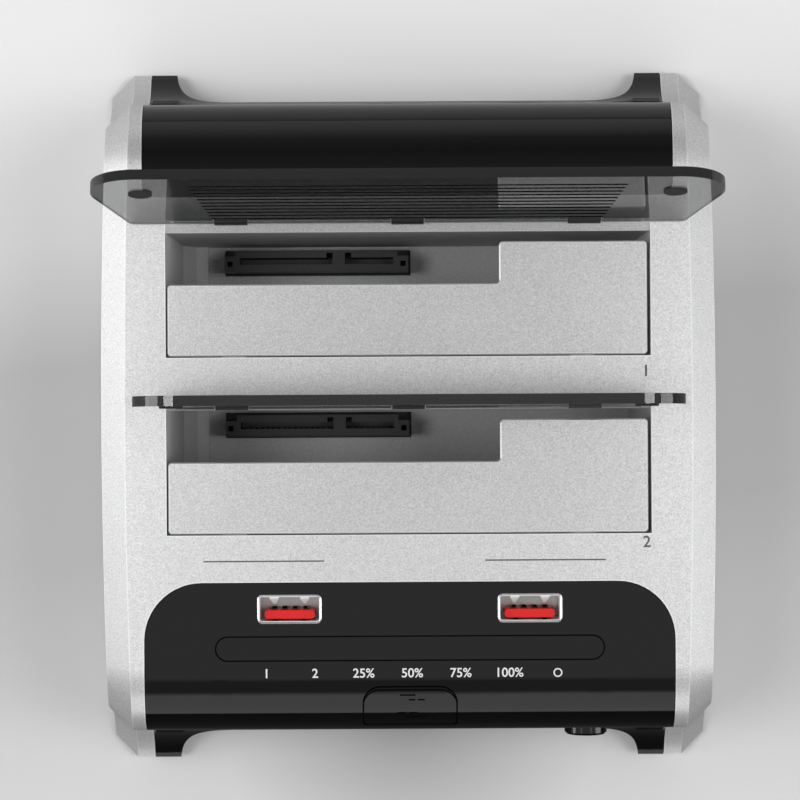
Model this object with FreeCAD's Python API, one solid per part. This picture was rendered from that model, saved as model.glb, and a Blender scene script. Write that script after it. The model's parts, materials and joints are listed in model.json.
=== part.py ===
import FreeCAD, Part
import math
import os

os.makedirs("parts", exist_ok=True)
Vec = FreeCAD.Vector

# All sizes are in millimetres. X is to the right, Y to the back, Z up from the surface it stands on.

# Body outline, seen from the side
half_length = 80.2
deck_height = 62.0
shell_bottom = 1.0
toe_height = 4.0
wall_lean = 7.4
shoulder_radius = 14.5
flare_radius = 22.0
flare_turn = 53.0

# Body outline, seen from the front
side_half_width = 65.0
side_draft = 0.1
side_sweep_radius = 1700.0
edge_chamfer = 5.0
skin = 2.2

# Black panels that wrap over the front and the back
panel_half_width = 56.1
panel_draft = 0.065
panel_gap = 0.15
front_panel_edge = -34.9
rear_panel_edge = 48.0
front_panel_corner = 12.2
rear_panel_corner = 3.0
arch_height = 15.0
arch_half_width = 54.0
arch_shoulder = 13.5
arch_lining = 1.6
tab_half_width = 6.0
tab_reach = 2.5
tab_thickness = 1.4
tab_x = 10.0

# Small pins, pivots and posts are drawn with this many flats
small_round_flats = 12

# Base pan and what stands on it
pan_half_width = 62.0
pan_end_inset = 14.6
pan_bottom = 2.5
pan_wall = 2.0
pan_side_rise = 8.0
pan_end_lap = 1.4
foot_radius = 6.0
foot_recess = 0.8
foot_fit = 0.1
pan_corner = 3.0
vent_count = 8
vent_pitch = 7.0
vent_width = 2.2
vent_length = 30.0
foot_inset_x = 14.0
foot_inset_y = 16.0
post_radius = 2.6
post_x = 57.2
front_post_y = -31.0
rear_post_y = 44.5
screw_seat_radius = 2.8
screw_seat_depth = 1.2

# Bays
bay_half_width = 51.2
bay_depth = 26.4
bay_pitch = 37.55
source_bay_front = 12.66
bay_floor_drop = 50.0
liner_wall = 1.6
ledge_width = 5.3
ledge_height = 2.0
ledge_ramp_width = 2.6
ledge_ramp_height = 8.0
source_lip_width = 1.9
target_lip_width = 0.45
lip_drop = 1.0

# L-shaped doors
door_thickness = 1.8
door_reach_narrow = 15.4
door_reach_wide = 24.2
door_split = 19.3
door_gap_front = 0.25
door_gap_left = 0.35
door_gap_right = 0.7
door_corner = 0.8
door_bevel = 0.25
window_gap = 0.4
window_depth = 10.5
door_recess = 2.3
door_hinge_x = 37.0
door_lug_width = 5.0
door_barrel_radius = 1.6
door_barrel_gap = 0.3
door_pin_radius = 0.75
door_pin_fit = 0.05
door_pivot_gap = 0.1
ear_width = 1.8
ear_gap = 0.2
ear_radius = 1.9
spring_room = 2.4
spring_wire = 0.35
spring_turns = 2
spring_pitch = 0.6
spring_clearance = 0.15
spring_facets = 8

# Smoked flaps, measured in their own plane
flap_length = 30.5
flap_thickness = 2.1
flap_corner = 10.0
source_flap_base = 58.4
source_flap_top = 67.3
target_flap_base = 53.0
target_flap_top = 57.3
source_flap_lean = 12.0
target_flap_lean = 1.0
flap_pivot_rise = 1.65
flap_pivot_set_back = 1.1
flap_barrel_radius = 1.3
flap_pin_radius = 0.6
flap_pin_fit = 0.05
knuckle_width = 6.8
knuckle_spacing = 37.2
knuckle_radius = 1.5
knuckle_gap = 0.3
groove_count = 11
flap_heel = 0.9
flap_barrel_half = 49.0
groove_first = 2.8
groove_pitch = 2.27
groove_width = 0.9
groove_depth = 0.3
groove_half_base = 41.0
groove_half_top = 44.0
bumper_radius = 2.4
bumper_height = 0.35
bumper_reach = 21.0
source_bumper_x = 54.0
target_bumper_x = 48.0

# SATA receptacles
connector_x = -20.7
connector_set_back = 3.7
connector_drop = 41.0
connector_length = 37.0
connector_depth = 4.9
channel_margin = 1.0
channel_depth = 7.0
channel_width = 1.5
long_channel = 21.2
short_channel = 11.0
channel_key = 1.4
channel_key_depth = 1.1
horn_length = 2.5
horn_depth = 3.6
horn_slot = 1.2
long_contacts = 15
short_contacts = 7
contact_pitch = 1.27
contact_width = 0.6
contact_thickness = 0.25
contact_height = 5.5
connector_clearance = 0.5

# Boards
board_thickness = 1.6
board_half_width = 50.0
board_end_gap = 3.6
board_liner_gap = 0.8
standoff_radius = 3.0
standoff_inset = 6.0
front_board_half_width = 46.0
front_board_back = -31.5
front_board_set_back = 18.7

# USB ports that face up
usb_x = 25.4
usb_y = -40.5
usb_length = 13.3
usb_width = 5.9
usb_corner = 0.9
usb_wall = 0.4
usb_height = 14.0
usb_fit = 0.15
usb_tongue_length = 10.6
usb_tongue_thickness = 1.9
usb_tongue_drop = 1.2
usb_back_drop = 9.0
usb_tongue_gap = 0.75
usb_contact_count = 4
usb_contact_pitch = 2.3
usb_contact_width = 1.2

# Light bar, indicators and buttons
bar_length = 82.0
bar_width = 5.0
bar_y = -48.9
bar_thickness = 3.0
bar_fit = 0.1
led_count = 7
led_pitch = 10.2
clone_width = 19.6
clone_height = 11.5
clone_corner = 3.5
clone_low_corner = 1.0
clone_flange = 1.2
clone_flange_thickness = 1.0
clone_tilt = 39.3
clone_gap = 0.3
clone_travel = 0.8
clone_plunger_radius = 1.6
clone_plunger_end = 5.2
power_x = 39.3
power_z = 32.0
power_radius = 4.7
power_gap = 0.25
power_proud = 1.35
power_travel = 1.0
power_tail = 4.0
power_flange = 0.9
power_flange_thickness = 1.0
power_switch_fit = 0.1
power_rim = 0.5
power_dish_margin = 1.2
power_dish_depth = 0.3

# Ports in the rear wall
port_bottom = 24.0
port_inset = 0.3
port_depth = 14.0
port_board_margin = 2.0
jack_x = 26.0
jack_width = 9.0
jack_height = 11.0
jack_bore = 3.2
jack_pin_radius = 1.0
jack_pin_drop = 1.0
jack_block = 3.0
host_x = -2.0
host_width = 12.2
host_height = 10.6
host_wall = 0.5
host_block = 3.0
host_tongue_width = 5.6
host_tongue_height = 3.2
host_tongue_drop = 1.5
port_fit = 0.3

# Small parts on the boards
header_width = 20.0
header_depth = 5.0
header_height = 6.0
header_inset = 7.5
ribbon_thickness = 0.9
chip_size = 14.0
chip_height = 1.4
chip_x = 25.0
chip_y = -44.0
capacitor_radius = 3.15
capacitor_height = 7.0
capacitor_pitch = 8.5
capacitor_count = 3
led_length = 3.2
led_width = 1.6
led_height = 1.4
pipe_width = 2.4
boss_radius = 2.5
boss_x = 40.0
boss_back_y = -39.5
boss_inset = 4.0
switch_size = 6.0
switch_height = 3.0
switch_gap = 0.1
power_switch_size = 11.0
power_switch_depth = 7.0
bracket_wall = 1.5

# Sizes worked out from the ones above
deck_underside = deck_height - skin
pan_floor = pan_bottom + pan_wall
pan_half_length = half_length - pan_end_inset
bay_floor = deck_height - bay_floor_drop
board_top = bay_floor - liner_wall - board_liner_gap
board_bottom = board_top - board_thickness
board_half_length = pan_half_length - pan_wall - board_end_gap
standoff_x = board_half_width - standoff_inset
standoff_y = board_half_length - standoff_inset
front_board_front = front_board_set_back - half_length
boss_front_y = front_board_front + boss_inset
header_y = front_board_front + header_inset
target_bay_front = source_bay_front - bay_pitch
connector_top = deck_height - connector_drop
front_board_top = deck_height - usb_height
front_board_bottom = front_board_top - board_thickness
bays = {
    "source": {
        "front": source_bay_front,
        "lip": source_lip_width,
        "flap_base": source_flap_base,
        "flap_top": source_flap_top,
        "flap_lean": source_flap_lean,
        "bumper_x": source_bumper_x,
    },
    "target": {
        "front": target_bay_front,
        "lip": target_lip_width,
        "flap_base": target_flap_base,
        "flap_top": target_flap_top,
        "flap_lean": target_flap_lean,
        "bumper_x": target_bumper_x,
    },
}


def save(shape, node):
    shape.exportStep("parts/" + node + ".step")


def box(x0, x1, y0, y1, z0, z1):
    return Part.makeBox(x1 - x0, y1 - y0, z1 - z0, Vec(x0, y0, z0))


def rod(radius, start, end):
    way = end.sub(start)
    return Part.makeCylinder(radius, way.Length, start, way)


def facet_rod(radius, start, end):
    """A small round bar drawn with flats, whose corners lie on the radius."""
    way = end.sub(start)
    turn = FreeCAD.Rotation(Vec(0, 0, 1), way)
    corners = []
    for index in range(small_round_flats):
        angle = 2 * math.pi * (index + 0.5) / small_round_flats
        corners.append(start.add(turn.multVec(Vec(radius * math.cos(angle), radius * math.sin(angle), 0))))
    return Part.Face(Part.makePolygon(corners + corners[:1])).extrude(way)


def facet_bore(radius, start, end):
    """The tool for a small round hole drawn with flats, whose flats lie on the radius."""
    return facet_rod(radius / math.cos(math.pi / small_round_flats), start, end)


def face_of(edges):
    return Part.Face(Part.Wire(Part.__sortEdges__(edges)))


def rounded_outline(corners, radii):
    """Closed outline of straight runs, with each corner rounded by its own radius."""
    edges = []
    count = len(corners)
    starts = []
    ends = []
    for index in range(count):
        here = corners[index]
        back = corners[index - 1].sub(here)
        ahead = corners[(index + 1) % count].sub(here)
        back.normalize()
        ahead.normalize()
        half_turn = math.acos(max(-1.0, min(1.0, back.dot(ahead)))) / 2
        reach = radii[index] / math.tan(half_turn)
        first = here.add(Vec(back).multiply(reach))
        last = here.add(Vec(ahead).multiply(reach))
        starts.append(first)
        ends.append(last)
        if radii[index] > 0:
            inward = back.add(ahead).normalize()
            depth = radii[index] / math.sin(half_turn) - radii[index]
            middle = here.add(inward.multiply(depth))
            edges.append(Part.Arc(first, middle, last).toShape())
    for index in range(count):
        first = ends[index - 1]
        last = starts[index]
        if first.distanceToPoint(last) > 1e-6:
            edges.append(Part.LineSegment(first, last).toShape())
    return Part.Wire(Part.__sortEdges__(edges))


def rounded_plate(x0, x1, y0, y1, z0, z1, radius):
    corners = [Vec(x0, y0, z0), Vec(x1, y0, z0), Vec(x1, y1, z0), Vec(x0, y1, z0)]
    return Part.Face(rounded_outline(corners, [radius] * 4)).extrude(Vec(0, 0, z1 - z0))


# ---- Body: side outline, hollow shell and the regions of the black panels ----

lean = math.radians(wall_lean)
flare_end = math.radians(flare_turn)
flare_y = half_length + flare_radius * math.cos(flare_end)
flare_z = toe_height + flare_radius * math.sin(flare_end)
wall_reach = flare_y * math.cos(lean) + flare_z * math.sin(lean) - flare_radius
shoulder_z = deck_height - shoulder_radius
shoulder_y = (wall_reach - shoulder_radius - shoulder_z * math.sin(lean)) / math.cos(lean)


def wall_y(z):
    return (wall_reach - z * math.sin(lean)) / math.cos(lean)


def end_edges(inset, bottom, way):
    """One end of the side outline, from the deck round the shoulder and down the flare to the toe."""

    def on_shoulder(angle):
        radius = shoulder_radius - inset
        return Vec(0, way * (shoulder_y + radius * math.cos(angle)), shoulder_z + radius * math.sin(angle))

    def on_flare(angle):
        radius = flare_radius + inset
        return Vec(0, way * (flare_y - radius * math.cos(angle)), flare_z - radius * math.sin(angle))

    toe_y = half_length - inset
    toe_angle = math.acos((flare_y - toe_y) / (flare_radius + inset))
    shoulder = Part.Arc(on_shoulder(math.pi / 2), on_shoulder((math.pi / 2 + lean) / 2), on_shoulder(lean))
    wall = Part.LineSegment(on_shoulder(lean), on_flare(lean))
    flare = Part.Arc(on_flare(lean), on_flare((lean + toe_angle) / 2), on_flare(toe_angle))
    toe = Part.LineSegment(on_flare(toe_angle), Vec(0, way * toe_y, bottom))
    return [shoulder.toShape(), wall.toShape(), flare.toShape(), toe.toShape()]


def side_half(z, inset):
    return side_half_width - inset + side_draft * (deck_height - z)


def side_sag(y):
    """How far the bowed sides have come in at a distance from the middle of their length."""
    return side_sweep_radius - math.sqrt(side_sweep_radius ** 2 - y ** 2)


def side_outline(z, inset):
    """Plan outline at one height, with both long sides bowed."""
    reach = half_length + 1
    edges = []
    for side in (-1, 1):
        middle = side * side_half(z, inset)
        end = side * (side_half(z, inset) - side_sag(reach))
        edges.append(Part.Arc(Vec(end, -reach, z), Vec(middle, 0, z), Vec(end, reach, z)).toShape())
        edges.append(Part.LineSegment(Vec(end, side * reach, z), Vec(-end, side * reach, z)).toShape())
    return Part.Wire(Part.__sortEdges__(edges))


def body_solid(inset, bottom):
    """The whole body as one solid, with its bowed sides and the broad bevel that follows the outline."""
    toe_y = half_length - inset
    deck = Part.LineSegment(Vec(0, shoulder_y, deck_height - inset), Vec(0, -shoulder_y, deck_height - inset))
    base = Part.LineSegment(Vec(0, toe_y, bottom), Vec(0, -toe_y, bottom))
    edges = end_edges(inset, bottom, 1) + end_edges(inset, bottom, -1)
    outline = face_of(edges + [deck.toShape(), base.toShape()])
    outline.translate(Vec(-half_length, 0, 0))
    block = outline.extrude(Vec(2 * half_length, 0, 0))
    sides = [side_outline(bottom - 1, inset), side_outline(deck_height + 1, inset)]
    block = block.common(Part.makeLoft(sides, True, True))
    rims = []
    for edge in block.Edges:
        on_side = all(abs(abs(v.X) - side_half(v.Z, inset) + side_sag(v.Y)) < 1e-3 for v in edge.Vertexes)
        along = edge.Vertexes[0].X * edge.Vertexes[-1].X > 0
        at_base = all(abs(v.Z - bottom) < 1e-3 for v in edge.Vertexes)
        if on_side and along and not at_base:
            rims.append(edge)
    bevel = edge_chamfer - inset * (2 - math.sqrt(2))
    return block.makeChamfer(bevel, rims)


def panel_region(edge_y, corner, gap):
    """Everything that lies within one black panel's outline, whose sides widen towards the floor."""
    way = 1 if edge_y > 0 else -1
    outlines = []
    for z in (deck_height + 1, -1):
        half = panel_half_width + panel_draft * (deck_height - z) - gap
        near = edge_y + way * gap
        far = way * (half_length + 10)
        corners = [Vec(-half, near, z), Vec(half, near, z), Vec(half, far, z), Vec(-half, far, z)]
        outlines.append(rounded_outline(corners, [corner, corner, 0, 0]))
    return Part.makeLoft(outlines, True, True)


def arch_prism(grow, y0, y1):
    """The low arch between the feet, as a prism along Y. grow makes it larger all round."""
    half = arch_half_width + grow
    top = arch_height + grow
    corners = [Vec(-half, y0, -2), Vec(half, y0, -2), Vec(half, y0, top), Vec(-half, y0, top)]
    outline = rounded_outline(corners, [0, 0, arch_shoulder + grow, arch_shoulder + grow])
    return Part.Face(outline).extrude(Vec(0, y1 - y0, 0))


outer_body = body_solid(0, shell_bottom)
inner_body = body_solid(skin, shell_bottom - 3)
hollow_body = outer_body.cut(inner_body)


# ---- Places shared by the doors, flaps and bays ----

door_pivot_drop = skin + door_barrel_gap + door_barrel_radius
door_pivot_z = deck_height - door_pivot_drop
flap_pivot_z = deck_height + flap_pivot_rise


def door_pivot_y(bay):
    return bay["front"] - door_pivot_drop - door_pivot_gap


def flap_pivot_y(bay):
    return bay["front"] + bay_depth + bay["lip"] + flap_pivot_set_back


def connector_y(bay):
    return bay["front"] + bay_depth - connector_set_back


def ear_spans(side):
    """X spans of the outer and inner ear at one door hinge, on the left (-1) or right (1)."""
    middle = side * door_hinge_x
    outer = middle + side * (door_lug_width / 2 + ear_gap)
    inner = middle - side * (door_lug_width / 2 + spring_room)
    return [sorted((outer, outer + side * ear_width)), sorted((inner, inner - side * ear_width))]


def hinge_span(side):
    spans = ear_spans(side)
    return min(spans[0][0], spans[1][0]), max(spans[0][1], spans[1][1])


# ---- Housing ----

def door_ears(bay):
    ears = []
    y = door_pivot_y(bay)
    for side in (-1, 1):
        for x0, x1 in ear_spans(side):
            ear = box(x0, x1, y - ear_radius, y + ear_radius, door_pivot_z, deck_underside + 0.5)
            ear = ear.fuse(facet_rod(ear_radius, Vec(x0, y, door_pivot_z), Vec(x1, y, door_pivot_z)))
            hole = facet_rod(door_pin_radius, Vec(x0 - 1, y, door_pivot_z), Vec(x1 + 1, y, door_pivot_z))
            ears.append(ear.cut(hole))
    return ears


def bay_cut(bay):
    back = bay["front"] + bay_depth
    opening = box(-bay_half_width, bay_half_width, bay["front"], back, deck_underside - 1, deck_height + 1)
    corners = [
        Vec(-bay_half_width, back, deck_height - lip_drop),
        Vec(-bay_half_width, back + bay["lip"], deck_height),
        Vec(-bay_half_width, back + bay["lip"], deck_height + 1),
        Vec(-bay_half_width, back, deck_height + 1),
    ]
    lip = Part.Face(rounded_outline(corners, [0] * 4)).extrude(Vec(2 * bay_half_width, 0, 0))
    return opening.fuse(lip)


def post_places():
    return [(x, y) for x in (-post_x, post_x) for y in (front_post_y, rear_post_y)]


def upper_shell():
    shell = hollow_body.cut(panel_region(front_panel_edge, front_panel_corner, 0))
    shell = shell.cut(panel_region(rear_panel_edge, rear_panel_corner, 0))
    for x, y in post_places():
        post = facet_rod(post_radius, Vec(x, y, pan_floor), Vec(x, y, deck_underside + 0.5))
        shell = shell.fuse(post.common(outer_body))
    for bay in bays.values():
        shell = shell.fuse(door_ears(bay)).cut(bay_cut(bay))
    return shell.removeSplitter()


def arch_lining_solid(way):
    """The wall of the arch, from the flared skin back to the base pan."""
    y0 = way * (pan_half_length + 0.1)
    y1 = way * (half_length + 1)
    lining = arch_prism(arch_lining, y0, y1).cut(arch_prism(0, y0 - way, y1 + way))
    return lining.common(outer_body)


def panel(edge_y, corner):
    way = 1 if edge_y > 0 else -1
    region = panel_region(edge_y, corner, panel_gap)
    shell = hollow_body.common(region)
    shell = shell.fuse(arch_lining_solid(way).common(region))
    shell = shell.cut(arch_prism(0, way * (pan_half_length - 8), way * (half_length + 5)))
    for x in (-tab_x, tab_x):
        y0, y1 = sorted((edge_y - way * tab_reach, edge_y + way * tab_reach))
        x0 = x - tab_half_width
        x1 = x + tab_half_width
        tab = box(x0, x1, y0, y1, deck_underside - tab_thickness, deck_underside)
        root = box(x0, x1, y0, y1, deck_underside - 0.1, deck_underside + 0.5)
        shell = shell.fuse([tab, root.common(region)])
    return shell


press_tilt = math.radians(clone_tilt)
press_way = Vec(0, math.sin(press_tilt), -math.cos(press_tilt))
press_slope = Vec(0, math.cos(press_tilt), math.sin(press_tilt))
clone_middle = Vec(0, -shoulder_y, shoulder_z).sub(Vec(press_way).multiply(shoulder_radius))


def clone_prism(grow, depth):
    """The clone button's outline, square to its travel, from outside the body to the given depth."""
    half_x = Vec(clone_width / 2 + grow, 0, 0)
    half_e = Vec(press_slope).multiply(clone_height / 2 + grow)
    start = clone_middle.sub(Vec(press_way).multiply(skin * 3))
    corners = [
        start.add(half_e).sub(half_x),
        start.add(half_e).add(half_x),
        start.sub(half_e).add(half_x),
        start.sub(half_e).sub(half_x),
    ]
    top = clone_corner + grow
    outline = rounded_outline(corners, [top, top, clone_low_corner + grow, clone_low_corner + grow])
    return Part.Face(outline).extrude(Vec(press_way).multiply(skin * 3 + depth))


def board_boss_places():
    return [(x, y) for x in (-boss_x, boss_x) for y in (boss_back_y, boss_front_y)]


def usb_outline(side, grow, z0, z1):
    x = side * usb_x
    half_x = usb_length / 2 + grow
    half_y = usb_width / 2 + grow
    return rounded_plate(x - half_x, x + half_x, usb_y - half_y, usb_y + half_y, z0, z1, usb_corner + grow)


def bar_outline(grow, z0, z1):
    half_x = bar_length / 2 + grow
    half_y = bar_width / 2 + grow
    return rounded_plate(-half_x, half_x, bar_y - half_y, bar_y + half_y, z0, z1, half_y)


port_face_y = wall_y(port_bottom + jack_height) - port_inset
port_back_y = port_face_y - port_depth
power_wall = wall_y(power_z)
power_flange_y = wall_y(power_z + power_radius + power_flange) - skin / math.cos(lean) - power_gap
power_tail_y = power_flange_y - power_tail
power_switch_y = power_tail_y - power_travel - switch_gap


def switch_bracket():
    cheeks = []
    for side in (-1, 1):
        near = power_x + side * (power_switch_size / 2 + power_switch_fit)
        x0, x1 = sorted((near, near + side * bracket_wall))
        z0 = power_z - power_switch_size / 2
        plate = box(x0, x1, -power_wall, -power_switch_y + power_switch_depth, z0, z0 + power_switch_size)
        cheeks.append(plate.common(outer_body))
    return cheeks


def front_panel():
    shell = panel(front_panel_edge, front_panel_corner)
    bosses = []
    for x, y in board_boss_places():
        boss = facet_rod(boss_radius, Vec(x, y, front_board_top), Vec(x, y, deck_height))
        bosses.append(boss.common(outer_body))
    shell = shell.fuse(bosses + switch_bracket())
    for side in (-1, 1):
        shell = shell.cut(usb_outline(side, usb_fit, deck_underside - 1, deck_height + 1))
    shell = shell.cut(bar_outline(bar_fit, deck_underside - 1, deck_height + 1))
    shell = shell.cut(clone_prism(clone_gap, skin * 2))
    outside = Vec(power_x, -half_length, power_z)
    return shell.cut(rod(power_radius + power_gap, outside, Vec(power_x, -power_flange_y, power_z)))


def port_boxes(grow, y1):
    """The blocks of the two rear ports, made larger all round by grow, out to a given Y."""
    blocks = []
    for x, width, height in ((jack_x, jack_width, jack_height), (host_x, host_width, host_height)):
        half = width / 2 + grow
        top = port_bottom + height + grow
        blocks.append(box(x - half, x + half, port_back_y, y1, port_bottom - grow, top))
    return blocks


def rear_panel():
    shell = panel(rear_panel_edge, rear_panel_corner)
    return shell.cut(port_boxes(port_fit, half_length))


def foot_places():
    x = pan_half_width - foot_inset_x
    y = pan_half_length - foot_inset_y
    return [(sx * x, sy * y) for sx in (-1, 1) for sy in (-1, 1)]


def standoff_places():
    return [(sx * standoff_x, sy * standoff_y) for sx in (-1, 1) for sy in (-1, 1)]


def base_pan():
    top = arch_height + arch_lining + pan_end_lap
    half_x = pan_half_width
    half_y = pan_half_length
    inner_x = half_x - pan_wall
    inner_y = half_y - pan_wall
    pan = rounded_plate(-half_x, half_x, -half_y, half_y, pan_bottom, top, pan_corner)
    pan = pan.cut(box(-inner_x, inner_x, -inner_y, inner_y, pan_floor, top + 1))
    side_top = pan_bottom + pan_side_rise
    pan = pan.cut(box(-half_x - 1, half_x + 1, -inner_y, inner_y, side_top, top + 1))
    for x, y in standoff_places():
        root = Vec(x, y, pan_bottom + pan_wall / 2)
        pan = pan.fuse(facet_rod(standoff_radius, root, Vec(x, y, board_bottom)))
    for x, y in foot_places():
        pan = pan.cut(rod(foot_radius + foot_fit, Vec(x, y, 0), Vec(x, y, pan_bottom + foot_recess)))
    for x, y in post_places():
        pan = pan.cut(facet_bore(screw_seat_radius, Vec(x, y, 0), Vec(x, y, pan_bottom + screw_seat_depth)))
    for index in range(vent_count):
        x = (index - (vent_count - 1) / 2) * vent_pitch
        half = vent_width / 2
        pan = pan.cut(box(x - half, x + half, -vent_length / 2, vent_length / 2, 0, pan_floor + 0.5))
    return pan


def rubber_feet():
    seat = pan_bottom + foot_recess
    return Part.makeCompound([rod(foot_radius, Vec(x, y, 0), Vec(x, y, seat)) for x, y in foot_places()])


# ---- Bays: liners, doors, flaps and receptacles ----

def bay_liner(bay):
    front = bay["front"] - door_recess
    back = bay["front"] + bay_depth
    half = bay_half_width
    liner = box(-half - liner_wall, half + liner_wall, front - liner_wall, back + liner_wall,
                bay_floor - liner_wall, deck_underside)
    liner = liner.cut(box(-half, half, front, back, bay_floor, deck_height))
    corners = [
        Vec(-half - 0.5, front, bay_floor - 0.5),
        Vec(-half - 0.5, front, bay_floor + ledge_ramp_height),
        Vec(-half, front, bay_floor + ledge_ramp_height),
        Vec(-half + ledge_ramp_width, front, bay_floor + ledge_height),
        Vec(-half + ledge_width, front, bay_floor + ledge_height),
        Vec(-half + ledge_width, front, bay_floor - 0.5),
    ]
    ledge = Part.Face(rounded_outline(corners, [0] * 6)).extrude(Vec(0, back - front, 0))
    liner = liner.fuse(ledge)
    for side in (-1, 1):
        x0, x1 = hinge_span(side)
        liner = liner.cut(box(x0 - window_gap, x1 + window_gap, front - liner_wall - 1, front + 0.01,
                              deck_underside - window_depth, deck_height))
    slot_x = connector_length / 2 + horn_length + connector_clearance
    slot_y = connector_depth / 2 + connector_clearance
    y = connector_y(bay)
    slot = box(connector_x - slot_x, connector_x + slot_x, y - slot_y, y + slot_y, 0, bay_floor + 1)
    return liner.cut(slot).removeSplitter()


def door(bay):
    left = -bay_half_width + door_gap_left
    right = bay_half_width - door_gap_right
    near = bay["front"] + door_gap_front
    middle = bay["front"] + door_reach_narrow
    far = bay["front"] + door_reach_wide
    z = deck_height - door_thickness
    corners = [
        Vec(left, near, z),
        Vec(right, near, z),
        Vec(right, far, z),
        Vec(door_split, far, z),
        Vec(door_split, middle, z),
        Vec(left, middle, z),
    ]
    outline = rounded_outline(corners, [door_corner] * 6)
    plate = Part.Face(outline).extrude(Vec(0, 0, door_thickness))
    rim = [e for e in plate.Edges if all(abs(v.Z - deck_height) < 1e-3 for v in e.Vertexes)]
    plate = plate.makeChamfer(door_bevel, rim)
    return plate.fuse([door_lug(bay, side) for side in (-1, 1)]).removeSplitter()


def door_lug(bay, side):
    """The gooseneck that reaches under the deck's edge from the plate to its pin."""
    x0 = side * door_hinge_x - door_lug_width / 2
    y = door_pivot_y(bay)
    z = door_pivot_z
    under = door_pivot_drop - door_thickness
    edge = bay["front"] + door_gap_front - y
    neck = door_barrel_radius
    corners = [
        Vec(x0, y, z + neck),
        Vec(x0, y + edge, z + neck),
        Vec(x0, y + edge, z + under + 0.2),
        Vec(x0, y + edge + 2 * neck, z + under + 0.2),
        Vec(x0, y + edge + neck, z),
        Vec(x0, y, z - neck),
    ]
    arm = Part.Face(rounded_outline(corners, [0] * 6)).extrude(Vec(door_lug_width, 0, 0))
    x1 = x0 + door_lug_width
    arm = arm.fuse(facet_rod(neck, Vec(x0, y, z), Vec(x1, y, z)))
    return arm.cut(facet_bore(door_pin_radius + door_pin_fit, Vec(x0 - 1, y, z), Vec(x1 + 1, y, z)))


def door_pins(bay):
    pins = []
    y = door_pivot_y(bay)
    for side in (-1, 1):
        x0, x1 = hinge_span(side)
        pins.append(facet_rod(door_pin_radius, Vec(x0, y, door_pivot_z), Vec(x1, y, door_pivot_z)))
    return Part.makeCompound(pins)


def door_springs(bay):
    """One torsion coil on each pin, in the room between the lug and the inner ear."""
    springs = []
    radius = door_pin_radius + spring_clearance + spring_wire / 2
    y = door_pivot_y(bay)
    sections = []
    for step in range(spring_turns * spring_facets + 1):
        angle = 2 * math.pi * step / spring_facets
        x = spring_pitch * (step / spring_facets - spring_turns / 2)
        corners = []
        for out, along in ((-1, -1), (1, -1), (1, 1), (-1, 1)):
            reach = radius + out * spring_wire / 2
            corners.append(Vec(x + along * spring_wire / 2, reach * math.cos(angle), reach * math.sin(angle)))
        sections.append(Part.makePolygon(corners + corners[:1]))
    coil = Part.makeLoft(sections, True, True)
    for side in (-1, 1):
        middle = side * (door_hinge_x - door_lug_width / 2 - spring_room / 2)
        springs.append(coil.translated(Vec(middle, y, door_pivot_z)))
    return Part.makeCompound(springs)


def stand_up(shape, bay):
    """Moves a shape from the flap's own plane, with its pivot on the X axis, to the open flap's place."""
    shape.rotate(Vec(0, 0, 0), Vec(1, 0, 0), -bay["flap_lean"])
    shape.translate(Vec(0, flap_pivot_y(bay), flap_pivot_z))
    return shape


def knuckle_middles():
    return [-knuckle_spacing, 0, knuckle_spacing]


def flap(bay):
    half = flap_thickness / 2
    base = bay["flap_base"]
    top = bay["flap_top"]
    corners = [
        Vec(-base, -half, -flap_heel),
        Vec(base, -half, -flap_heel),
        Vec(top, -half, flap_length),
        Vec(-top, -half, flap_length),
    ]
    outline = rounded_outline(corners, [flap_heel, flap_heel, flap_corner, flap_corner])
    plate = Part.Face(outline).extrude(Vec(0, flap_thickness, 0))
    end = flap_barrel_half
    plate = plate.fuse(facet_rod(flap_barrel_radius, Vec(-end, 0, 0), Vec(end, 0, 0)))
    plate = plate.cut(facet_bore(flap_pin_radius + flap_pin_fit, Vec(-end - 1, 0, 0), Vec(end + 1, 0, 0)))
    notch = knuckle_width / 2 + knuckle_gap
    height = knuckle_radius + 2 * knuckle_gap
    for x in knuckle_middles():
        plate = plate.cut(box(x - notch, x + notch, -height, height, -height, height))
    grooves = []
    for index in range(groove_count):
        z = groove_first + index * groove_pitch
        reach = groove_half_base + (groove_half_top - groove_half_base) * index / (groove_count - 1)
        z0 = z - groove_width / 2
        grooves.append(box(-reach, reach, -half - 1, -half + groove_depth, z0, z0 + groove_width))
    return stand_up(plate.cut(Part.makeCompound(grooves)), bay)


def flap_pin(bay):
    half = flap_barrel_half
    return stand_up(facet_rod(flap_pin_radius, Vec(-half, 0, 0), Vec(half, 0, 0)), bay)


def flap_knuckles(bay, shell):
    """The three lugs on the deck that hold the flap's pin, square below and rounded above."""
    blocks = []
    y = flap_pivot_y(bay)
    z = flap_pivot_z
    pin = flap_pin(bay)
    for x in knuckle_middles():
        x0 = x - knuckle_width / 2
        x1 = x + knuckle_width / 2
        block = box(x0, x1, y - knuckle_radius, y + knuckle_radius, deck_height - lip_drop, z)
        block = block.fuse(facet_rod(knuckle_radius, Vec(x0, y, z), Vec(x1, y, z)))
        blocks.append(block.cut(pin).cut(shell))
    return Part.makeCompound(blocks)


def flap_bumpers(bay):
    face = -flap_thickness / 2
    discs = []
    for x in (-bay["bumper_x"], bay["bumper_x"]):
        back = Vec(x, face, bumper_reach)
        discs.append(rod(bumper_radius, back.sub(Vec(0, bumper_height, 0)), back))
    return stand_up(Part.makeCompound(discs), bay)


def channel_spans():
    """X spans of the long and the short channel of a receptacle, and where each one's key begins."""
    left = connector_x - connector_length / 2 + channel_margin
    right = connector_x + connector_length / 2 - channel_margin
    return [
        (left, left + long_channel, left + long_channel - channel_key, long_contacts),
        (right - short_channel, right, right - short_channel, short_contacts),
    ]


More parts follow.
